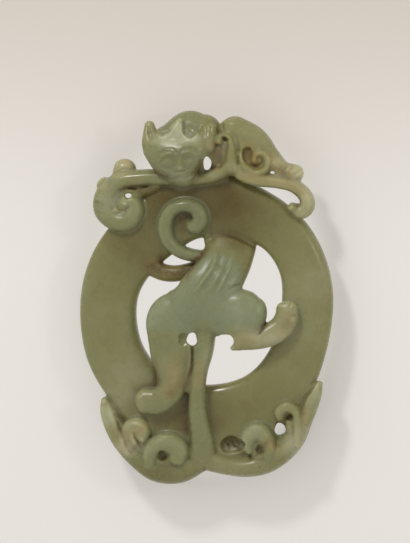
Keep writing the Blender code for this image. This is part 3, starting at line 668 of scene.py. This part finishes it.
# how pale each limb is, and how green: (pale, green)
limbTones = {
    "trunk": (0.46, 0.9), "leftHip": (0.6, 0.85), "flankFill": (0.56, 0.9), "thighFill": (0.6, 0.85),
    "leftLeg": (0.54, 0.35), "rightThigh": (0.6, 0.85), "rightLeg": (0.66, 0.2), "neck": (0.5, 0.3),
    "shoulder": (0.57, 0.15), "skull": (0.54, 0.6), "jaw": (0.5, 0.5), "leftEar": (0.52, 0.3),
    "crest": (0.7, 0.6), "rightEar": (0.5, 0.2), "smallCurl": (0.5, 0.2), "chinLock": (0.46, 0.3),
    "longLock": (0.6, 0.1), "innerLock": (0.55, 0.1), "leftForeleg": (0.52, 0.5),
    "leftElbow": (0.62, 0.1), "leftWrist": (0.58, 0.2), "flankCurl": (0.35, 0.7), "tail": (0.47, 0.5),
    "leftFork": (0.44, 0.3), "leftEyeScroll": (0.58, 0.4), "leftSmallScroll": (0.57, 0.25),
    "rightFork": (0.54, 0.25), "rightEyeScroll": (0.56, 0.4), "rightSmallScroll": (0.49, 0.3),
}
# brown in the recesses, partly the stone's own stain and partly painted shade, as (u, v, strength, half width)
# in tenths
stainsAndShade = {
    "underRing": [(5, 162, 3, 5), (40, 170, 5), (74, 162, 8, 5.5), (100, 150, 7), (128, 134, 5, 5)],
    "backJoint": [(3, 132, 5, 8), (-16, 112, 8, 10), (-36, 94, 9, 12), (-48, 74, 7), (-54, 54, 4, 10)],
    "flankWeb": [(-160, 90, 6, 18), (-130, 76, 7, 22), (-90, 66, 7, 20), (-55, 76, 8, 18)],
    "webCorner": [(-126, 120, 6, 14), (-120, 94, 8)],
    "leftCheek": [(-144, 344, 5, 9), (-126, 333, 7), (-106, 325, 6, 8)],
    "rightCheek": [(-16, 364, 6, 9), (-22, 346, 7, 10), (-34, 330, 5, 9)],
    "cheekHollow": [(22, 404, 2.5, 16), (32, 380, 2.5, 22), (30, 358, 2.5, 18)],
    "lockHollow": [(114, 400, 4, 15), (120, 376, 5, 20), (130, 358, 4.5, 16)],
    "smallCurlHole": [(50, 426, 7, 9), (26, 448, 4, 8)],
    "armSpots": [(176, 346, 5, 10), (196, 344, 5, 12), (220, 316, 3, 10)],
    "hookInside": [(240, 274, 5, 8), (246, 258, 6, 7), (224, 219, 4)],
    "pawSlots": [(-232, 290, 7, 8), (-210, 296, 9, 9), (-176, 296, 8), (-150, 302, 5, 8)],
    "pawToes": [(-296, 256, 5, 6), (-280, 248, 3, 5)],
    "underChin": [(-120, 304, 3, 9), (-60, 296, 4, 10), (0, 300, 4), (50, 324, 5), (76, 334, 5, 8)],
    "curlInside": [(-84, 200, 3, 9), (-74, 224, 4), (-52, 216, 4, 16), (-64, 184, 3)],
    "leftHeelShade": [(-142, -160, 4, 8), (-138, -196, 7, 11), (-136, -228, 8, 16), (-154, -236, 6, 10)],
    "tailSeam": [(-38, -124, 9, 5), (-38, -150, 10, 5.5), (-39, -180, 9, 6), (-48, -220, 6, 10),
        (-54, -256, 5, 11)],
    "legInside": [(-66, -204, 2.5, 10), (-74, -236, 4, 14), (-96, -258, 4.5, 13)],
    "tailLeftShade": [(-52, -270, 7, 9), (-56, -310, 8), (-52, -360, 8)],
    "tailRightShade": [(8, -260, 3, 9), (12, -310, 4.5, 12), (24, -356, 4.5, 13)],
    "ankle": [(159, -66, 9, 7), (152, -78, 9), (140, -96, 7, 6)],
    "thighBase": [(80, -116, 2, 16), (110, -116, 2.5)],
    "rightPaw": [(214, -74, 2.5, 14), (234, -40, 2.5, 12)],
    "scrollGaps": [(-236, -336, 5, 9), (-222, -374, 5.5, 11), (-202, -410, 5), (-182, -388, 6, 9)],
    "scrollAEye": [(-122, -420, 6, 12), (-112, -434, 5, 9)],
    "pit": [(50, -384, 5.5, 22), (74, -388, 6.5), (92, -408, 4, 12)],
    "scrollDRoot": [(142, -410, 6, 13), (172, -380, 4, 10), (186, -396, 4)],
    "scrollEEye": [(222, -318, 8, 9), (190, -338, 7, 8), (216, -362, 5)],
    "petalFLine": [(284, -240, 6, 6), (262, -272, 7, 7), (258, -310, 5, 8)],
    "petalCTop": [(-244, -314, 4, 8), (-218, -324, 4, 7)],
    "leftFootShade": [(-166, -234, 5, 13), (-196, -248, 4, 9)],
    "cleft": [(-6, -456, 4, 6), (-6, -472, 7, 9)],
    "ringSpots": [(50, 300, 6, 7), (66, 294, 5, 6)],
    "ringVein": [(-330, 20, 2.5, 3.5), (-300, 12, 3), (-275, 16, 1.5, 3)],
}
# warm, yellow or orange places, in the same way
warms = {
    "scrollDBase": [(154, -376, 5, 14), (174, -394, 7, 16), (188, -406, 5, 14)],
    "petalF": [(264, -306, 7, 10), (262, -334, 5)],
    "cheekHollow": [(22, 404, 8, 18), (32, 380, 9, 24), (30, 358, 8, 20)],
    "lockHollow": [(114, 400, 8, 18), (120, 376, 9, 24), (130, 358, 8, 18)],
    "flankWeb": [(-150, 86, 5, 20), (-100, 68, 6, 24), (-55, 76, 5, 20)],
    "arm": [(166, 376, 4, 14), (196, 346, 6, 20), (232, 332, 5)],
    "longLock": [(110, 324, 4, 16), (190, 310, 4, 18), (246, 294, 5), (270, 272, 5, 14)],
    "leg": [(-90, -175, 4, 26), (-84, -220, 6), (-104, -254, 5, 20)],
    "tailTop": [(-16, -180, 4, 18), (-22, -224, 4, 20)],
    "scrollBSide": [(-160, -340, 5, 12), (-206, -370, 6, 16), (-214, -404, 5)],
    "petalC": [(-254, -350, 3.5, 14), (-230, -394, 3.5)],
    "elbow": [(-240, 346, 3, 18), (-210, 364, 3, 20)],
    "thighBase": [(90, -116, 4, 20), (130, -114, 3)],
    "paw": [(200, -90, 3.5, 20), (220, -50, 3)],
}


def setAttribute(made, name, values):
    layer = made.data.attributes.new(name, "FLOAT", "POINT")
    layer.data.foreach_set("value", np.clip(values, 0, 1).astype(np.float32))


# each patch's step times a bell of the distance from its middle
def patched(u, v, rows):
    return sum(step * np.exp(-((u - cu) / halfWidth) ** 2 - ((v - cv) / halfHeight) ** 2)
               for cu, cv, halfWidth, halfHeight, step in rows)


# tone, green, stain and warm of each point, for the material to read; the tone holds painted highlights and
# painted shade, and the stain is partly painted shade
def paintStone(made, points, edges, triangles):
    u, v = seenFrom(points)
    normals = pointNormals(points, triangles)
    facing = softStep(*paint["facing"], normals @ toEye)
    tone = paint["tone"] + patched(u, v, ringPatches.values())
    green = paint["rimGreen"] * softStep(*paint["rimFade"], u) + paint["green"]
    for name, (pale, greenness) in limbTones.items():
        path = curveThrough(inUnits(limbs[name]), 8)
        if name == "trunk":
            path = path[path[:, 1] < paint["trunkTop"]]
        near = seenNear(u, v, path, path[:, 3].max() * paint["limbReach"])
        spine = placeDrawn(*path[:, :3].T)
        away = points[near, None] - spine[None]
        along = (away @ toEye) ** 2
        sideways = (away ** 2).sum(-1) - along
        halfWidth, halfDepth = path[:, 3] + paint["limbMargin"][0], path[:, 4] + paint["limbMargin"][1]
        gap = sideways / halfWidth ** 2 + along / halfDepth ** 2
        share = softStep(*paint["limbFade"], np.sqrt(gap.min(axis=1)))
        tone[near] += (pale - tone[near]) * share
        green[near] += (greenness - green[near]) * share
    tone += patched(u, v, limbPatches.values()) * facing
    stainAndShade, warm = np.zeros(len(points)), np.zeros(len(points))
    for target, group in ((stainAndShade, stainsAndShade), (warm, warms)):
        for rows in group.values():
            near, share, strength = markAlong(u, v, rows, paint["stainShadeAndWarmSpread"])
            target[near] = np.maximum(target[near], share * strength)
    # painted shade in the hollows and painted light on the edges, found by how far smoothing moves each point
    # along its normal
    bend = ((relax(points, edges, paint["bendRounds"]) - points) * normals).sum(1)
    hollow = softStep(*paint["hollow"], bend)
    tone = tone + paint["edgeLight"] * softStep(*paint["edge"], -bend) - paint["hollowShade"] * hollow
    stainAndShade = stainAndShade * facing + paint["hollowStainAndShade"] * hollow
    for name, values in (("tone", tone), ("green", green), ("stainAndShade", stainAndShade), ("warm", warm * facing)):
        setAttribute(made, name, values)


paintStone(carving, points, edges, triangles)
print("stone painted")


# a socket that adds Math nodes when it is used in an expression
class Wire:
    def __init__(self, nodes, socket):
        self.nodes, self.socket = nodes, socket

    def math(self, operation, first, second):
        return self.nodes.add("ShaderNodeMath", {"operation": operation}, {0: first, 1: second})

    def __add__(self, other):
        return self.math("ADD", self, other)

    def __sub__(self, other):
        return self.math("SUBTRACT", self, other)

    def __rsub__(self, other):
        return self.math("SUBTRACT", other, self)

    def __mul__(self, other):
        return self.math("MULTIPLY", self, other)

    __radd__ = __add__
    __rmul__ = __mul__


class Nodes:
    def __init__(self, material):
        self.tree = material.node_tree
        self.shader = self.tree.nodes["Principled BSDF"]

    # links each wire to a node's socket, and sets each plain value on it
    def fill(self, node, sockets):
        for key, value in sockets.items():
            if isinstance(value, Wire):
                self.tree.links.new(value.socket, node.inputs[key])
            else:
                node.inputs[key].default_value = value

    # one node: its type, its settings, then the values or wires of its sockets
    def add(self, kind, settings=None, inputs=None, output=0):
        node = self.tree.nodes.new(kind)
        for key, value in (settings or {}).items():
            setattr(node, key, value)
        self.fill(node, inputs or {})
        return Wire(self, node.outputs[output])

    def mix(self, share, first, second):
        return self.add("ShaderNodeMix", {"data_type": "RGBA", "clamp_factor": True},
                        {0: share, 6: first, 7: second}, output=2)

    def attribute(self, name):
        return self.add("ShaderNodeAttribute", {"attribute_name": name}, output="Fac")

    def span(self, value, low, high, toLow=0.0, toHigh=1.0):
        return self.add("ShaderNodeMapRange", {"interpolation_type": "SMOOTHSTEP"},
                        {0: value, 1: low, 2: high, 3: toLow, 4: toHigh})


# a colour as the screen shows it, in the shader's own linear numbers
def shown(red, green, blue):
    parts = [value / 255 for value in (red, green, blue)]
    return (*[p / 12.92 if p <= 0.04045 else ((p + 0.055) / 1.055) ** 2.4 for p in parts], 1.0)


stone = {
    "dark": shown(86, 69, 14),
    "middle": shown(124, 120, 74),
    "pale": shown(181, 178, 148),
    "green": shown(118, 131, 106),
    "warm": shown(172, 144, 92),
    "brown": shown(88, 64, 22),
    "grit": shown(52, 42, 24),
    # tone from dark to middle, and from middle to pale
    "toMiddle": (0.0, 0.5),
    "toPale": (0.45, 1.05),
    # the most of each other colour that is laid over them
    "most": {"green": 0.6, "warm": 0.55, "brown": 0.8, "grit": 0.6},
    # clouds as (scale, detail, roughness)
    "broad": (110, 4.0, 0.55),
    "fine": (520, 4.0, 0.6),
    "greens": (160, 3.0, 0.55),
    "warms": (420, 4.0, 0.65),
    "grains": (2300, 3.0, 0.7),
    "dents": (260, 3.0, 0.55),
    # how far a cloud moves the tone or the green
    "sway": {"broad": 0.34, "fine": 0.12, "greens": 0.5},
    # a cloud's range, and the strength at its two ends
    "stainAndShadeRange": (0.32, 0.62, 0.55, 1.15),
    "warmRange": (0.3, 0.62, 0.4, 1.1),
    "roughRange": (0.3, 0.7, 0.21, 0.34),
    "gritRange": (0.40, 0.62),
    "gritStainAndShade": (0.35, 0.8),       # grit comes in between these amounts of stain and painted shade
    "stainAndShadeRoughness": 0.2,
    "bump": {"Strength": 0.12, "Distance": 0.0002},
    "fineBump": 0.25,
    "sockets": {"Metallic": 0.0, "IOR": 1.5, "Specular IOR Level": 0.34, "Subsurface Weight": 0.7,
                "Subsurface Radius": (1.0, 0.95, 0.55), "Subsurface Scale": 0.0035},
}


def jadeMaterial():
    material = bpy.data.materials.new("jade")
    material.use_nodes = True
    nodes = Nodes(material)
    place = nodes.add("ShaderNodeTexCoord", output="Object")
    most, sway = stone["most"], stone["sway"]

    def cloud(name):
        scale, detail, roughness = stone[name]
        return nodes.add("ShaderNodeTexNoise", {}, {"Vector": place, "Scale": scale, "Detail": detail,
                                                    "Roughness": roughness})

    fine, rawStainAndShade = cloud("fine"), nodes.attribute("stainAndShade")
    tone = nodes.attribute("tone") + (cloud("broad") - 0.5) * sway["broad"] + (fine - 0.5) * sway["fine"]
    green = nodes.attribute("green") + (cloud("greens") - 0.5) * sway["greens"]
    warm = nodes.attribute("warm") * nodes.span(cloud("warms"), *stone["warmRange"])
    # brown of the stain, partly the stone's own and partly painted shade, broken by a cloud
    stainAndShade = rawStainAndShade * nodes.span(fine, *stone["stainAndShadeRange"])
    grit = nodes.span(rawStainAndShade, *stone["gritStainAndShade"]) * nodes.span(cloud("grains"), *stone["gritRange"])
    colour = nodes.mix(nodes.span(tone, *stone["toMiddle"]), stone["dark"], stone["middle"])
    colour = nodes.mix(nodes.span(tone, *stone["toPale"]), colour, stone["pale"])
    for name, share in (("green", green), ("warm", warm), ("brown", stainAndShade), ("grit", grit)):
        colour = nodes.mix(share * most[name], colour, stone[name])
    roughness = nodes.span(fine, *stone["roughRange"]) + rawStainAndShade * stone["stainAndShadeRoughness"]
    height = cloud("dents") + fine * stone["fineBump"]
    bump = nodes.add("ShaderNodeBump", {}, {**stone["bump"], "Height": height})
    nodes.fill(nodes.shader, {"Base Color": colour, "Roughness": roughness, "Normal": bump,
                              **stone["sockets"]})
    return material


carving.data.materials.append(jadeMaterial())
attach(carving, "root")
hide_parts("jade_carving")
print("jade laid on")

# floor, light and camera

studio = {
    "floor": shown(230, 226, 221),
    # the floor's far colour is painted shade: it darkens towards the far side as if the light fell off there
    "floorFarShade": shown(200, 192, 181),
    "farFrom": (0.0, 0.075),            # y where the floor starts to darken and where it is darkest
    # share of the floor's brightness that is its own glow: under the stone, and in the open
    "floorGlow": (0.95, 0.30),
    "underStone": (0.0205, 0.031),      # half width and half height of the oval under the stone
    "glowFade": (0.7, 1.5),             # squared shares of the oval where the first turns to the second
    "floorSockets": {"Emission Strength": 1.0, "Roughness": 0.8, "Specular IOR Level": 0.2},
    "floorSize": 1.6,
    "black": (0.0, 0.0, 0.0, 1.0),
    "sky": (0.93, 0.92, 0.90, 1.0),
    "skyStrength": 0.80,
    # lamps as place in metres, size, watts, colour
    "key": ((-0.14, 0.36, 0.34), 0.07, 0.98, (1.0, 0.99, 0.97)),
    "fill": ((0.34, 0.12, 0.36), 0.05, 0.2, (1.0, 0.98, 0.95)),
    "lampAim": (0, 0, 0.005),
}
view = {
    "pictureHeight": 543,               # pixels
    "pixelsPerUnit": 3.74,
    "middle": (-0.40, 7.09),            # drawn u and v at the picture's middle
    "distance": 2.0,
    "clip": (0.1, 10.0),
}


def makeFloor():
    half = studio["floorSize"] / 2
    corners = np.array([(-half, -half, 0), (half, -half, 0), (half, half, 0), (-half, half, 0)])
    floor = meshObject("floor", corners, np.array([(0, 1, 2), (0, 2, 3)]))
    material = bpy.data.materials.new("floor")
    material.use_nodes = True
    nodes = Nodes(material)
    place = nodes.add("ShaderNodeTexCoord", output="Object")
    x, y = (nodes.add("ShaderNodeSeparateXYZ", {}, {"Vector": place}, output=axis) for axis in "XY")
    shade = nodes.mix(nodes.span(y, *studio["farFrom"]), studio["floor"], studio["floorFarShade"])
    across, along = (1 / reach ** 2 for reach in studio["underStone"])
    glow = nodes.span(x * x * across + y * y * along, *studio["glowFade"], *studio["floorGlow"])
    nodes.fill(nodes.shader, {"Base Color": nodes.mix(glow, shade, studio["black"]),
                              "Emission Color": nodes.mix(glow, studio["black"], shade),
                              **studio["floorSockets"]})
    floor.data.materials.append(material)


# puts a lamp or the camera at a place and turns it to a target, with y upward in its view
def aimed(made, place, target):
    made.location = place
    away = np.array(place) - np.array(target)
    away /= np.linalg.norm(away)
    right = np.cross((0.0, 1.0, 0.0), away)
    right /= np.linalg.norm(right)
    turn = np.stack([right, np.cross(away, right), away], 1)
    made.rotation_mode = "QUATERNION"
    made.rotation_quaternion = Matrix(turn.tolist()).to_quaternion()


def makeLights():
    for name in ("key", "fill"):
        place, size, watts, colour = studio[name]
        lamp = bpy.data.lights.new(name, "AREA")
        lamp.shape = "DISK"
        lamp.size = size
        lamp.energy = watts
        lamp.color = colour
        made = bpy.data.objects.new(name, lamp)
        bpy.context.collection.objects.link(made)
        aimed(made, place, studio["lampAim"])
    world = bpy.data.worlds.new("studio")
    world.use_nodes = True
    background = world.node_tree.nodes["Background"]
    background.inputs["Color"].default_value = studio["sky"]
    background.inputs["Strength"].default_value = studio["skyStrength"]
    bpy.context.scene.world = world


# far off along the line of sight, with the lens that frames the picture's own height
def makeCamera():
    middleU, middleV = view["middle"]
    target = placeDrawn(np.array([middleU]), np.array([middleV]), np.array([drawing["ringFace"]]))[0]
    target = target * unit + shift
    lens = bpy.data.cameras.new("camera")
    height = view["pictureHeight"] / view["pixelsPerUnit"] * unit
    lens.lens = lens.sensor_width * view["distance"] / height
    lens.clip_start, lens.clip_end = view["clip"]
    camera = bpy.data.objects.new("camera", lens)
    bpy.context.collection.objects.link(camera)
    aimed(camera, target + toEye * view["distance"], target)
    bpy.context.scene.camera = camera


makeFloor()
makeLights()
makeCamera()
bpy.context.scene.view_settings.view_transform = "Standard"
print("scene ready")
